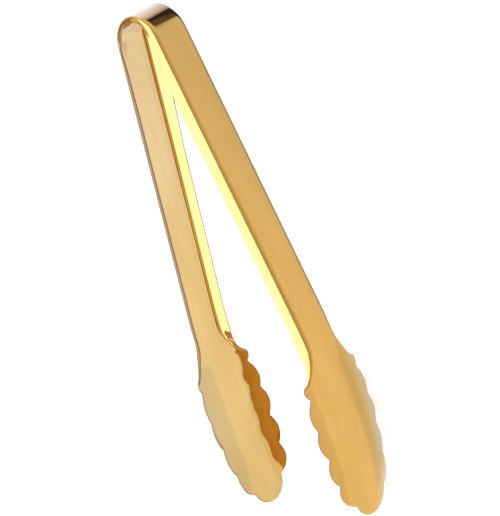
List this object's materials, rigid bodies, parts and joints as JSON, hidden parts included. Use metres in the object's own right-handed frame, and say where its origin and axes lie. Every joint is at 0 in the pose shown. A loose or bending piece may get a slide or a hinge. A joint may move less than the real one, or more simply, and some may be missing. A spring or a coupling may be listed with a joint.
{
  "type": "ice tongs",
  "caption": "Spring tongs bent from one gold-coated steel strip, with channel arms and scalloped spoon jaws for picking up ice.",
  "frame": {"origin": "middle of the underside of the box around the tongs as they lie on their side edges, open", "axes": "+X is the way the tongs open, towards the right arm; +Y runs from the jaws to the spring bow; +Z is across the width of the strip, up when the tongs lie on a table"},
  "size_m": [0.0566, 0.178, 0.0282],
  "materials": {
    "gold_bow": "stainless steel with a polished gold coating",
    "gold_left_arm": "stainless steel with a polished gold coating",
    "gold_right_arm": "stainless steel with a polished gold coating"
  },
  "bodies": {
    "bow": {"spring_bow": "gold_bow"},
    "left": {"left_arm": "gold_left_arm"},
    "right": {"right_arm": "gold_right_arm"}
  },
  "joints": [
    {"name": "right_squeeze", "type": "hinge", "parent": "bow", "child": "right", "pos_m": [0.0066, 0.0847, 0.01411], "axis": [0, 0, -1], "range_deg": [0, 7.4], "stiffness_Nm_per_rad": 4.3},
    {"name": "left_squeeze", "type": "hinge", "parent": "bow", "child": "left", "pos_m": [-0.0066, 0.0847, 0.01411], "axis": [0, 0, 1], "range_deg": [0, 7.4], "stiffness_Nm_per_rad": 4.3}
  ],
  "couplings": [
    {"joint": "left_squeeze", "follows": "right_squeeze", "ratio": 1}
  ]
}
